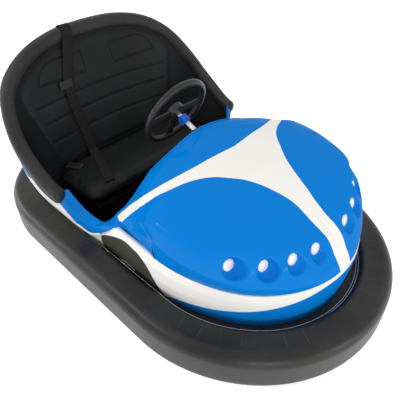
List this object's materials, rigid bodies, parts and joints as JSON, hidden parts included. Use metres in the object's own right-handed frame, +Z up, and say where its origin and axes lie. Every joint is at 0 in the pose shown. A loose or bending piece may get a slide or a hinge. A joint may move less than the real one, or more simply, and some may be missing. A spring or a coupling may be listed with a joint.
{
  "type": "bumper car",
  "caption": "Fairground bumper car: oval rubber bumper tyre, domed bonnet with lamps in scoops, padded bench with a rolled rim, hand wheel, caster rear wheels and a steered drive wheel.",
  "frame": {"origin": "on the ground under the middle of the bounding box", "axes": "+X forward, to the nose; +Y to the driver's left; +Z up"},
  "size_m": [1.9498, 1.2, 0.9865],
  "materials": {
    "black rubber": "satin",
    "channel steel": "satin",
    "frame steel": "satin",
    "wheel core": "matt",
    "wheel rubber": "matt",
    "motor paint": "satin",
    "white shell": "gloss",
    "blue shell": "gloss",
    "padding": "soft vinyl",
    "black shell": "matt",
    "battery case": "matt",
    "lamp lens": "frosted",
    "black plastic": "satin",
    "red button": "gloss",
    "mat rubber": "ribbed",
    "bright steel": "polished",
    "blue clamp": "gloss",
    "webbing": "woven"
  },
  "bodies": {
    "car": {"bumper_tyre": "black rubber", "bumper_channel": "channel steel", "floor_plate": "frame steel", "frame_rails": "frame steel", "rear_bracket_right": "frame steel", "rear_bracket_left": "frame steel", "drive_bridge": "frame steel", "lower_body": "white shell", "bonnet": "blue shell", "rim_padding": "padding", "seat_liner": "padding", "seat_back_pad": "padding", "seat_cushion": "padding", "seat_base": "black shell", "battery_pack": "battery case", "door_sill_right": "blue shell", "door_sill_left": "blue shell", "lamp_cups_right": "blue shell", "lamp_cups_left": "blue shell", "lamp_lenses_right": "lamp lens", "lamp_lenses_left": "lamp lens", "dash_panel": "blue shell", "column_housing": "black plastic", "start_button": "red button", "front_bulkhead": "black shell", "drive_pedal": "black plastic", "floor_mat": "mat rubber", "shoulder_belt": "webbing", "belt_adjusters": "black plastic", "belt_buckle": "black plastic"},
    "hand_wheel": {"steering_wheel": "black plastic", "steering_shaft": "bright steel", "steering_joint": "blue clamp"},
    "drive_fork": {"drive_fork": "frame steel", "drive_motor": "motor paint"},
    "drive_wheel": {"drive_hub": "wheel core", "drive_tyre": "wheel rubber"},
    "rear_wheel_right": {"rear_hub_right": "wheel core", "rear_tread_right": "wheel rubber"},
    "rear_wheel_left": {"rear_hub_left": "wheel core", "rear_tread_left": "wheel rubber"}
  },
  "joints": [
    {"name": "steering_wheel_turn", "type": "hinge", "parent": "car", "child": "hand_wheel", "pos_m": [-0.047, 0, 0.696], "axis": [-0.9205, 0, 0.3907], "continuous": true},
    {"name": "drive_steer", "type": "hinge", "parent": "car", "child": "drive_fork", "pos_m": [0.47, 0, 0.3], "axis": [0, 0, 1], "continuous": true},
    {"name": "drive_wheel_spin", "type": "hinge", "parent": "drive_fork", "child": "drive_wheel", "pos_m": [0.47, 0, 0.13], "axis": [0, 1, 0], "continuous": true},
    {"name": "rear_wheel_left_spin", "type": "hinge", "parent": "car", "child": "rear_wheel_left", "pos_m": [-0.56, 0.325, 0.1], "axis": [0, 1, 0], "continuous": true},
    {"name": "rear_wheel_right_spin", "type": "hinge", "parent": "car", "child": "rear_wheel_right", "pos_m": [-0.56, -0.325, 0.1], "axis": [0, 1, 0], "continuous": true}
  ],
  "couplings": [
    {"joint": "steering_wheel_turn", "follows": "drive_steer", "ratio": 1}
  ]
}
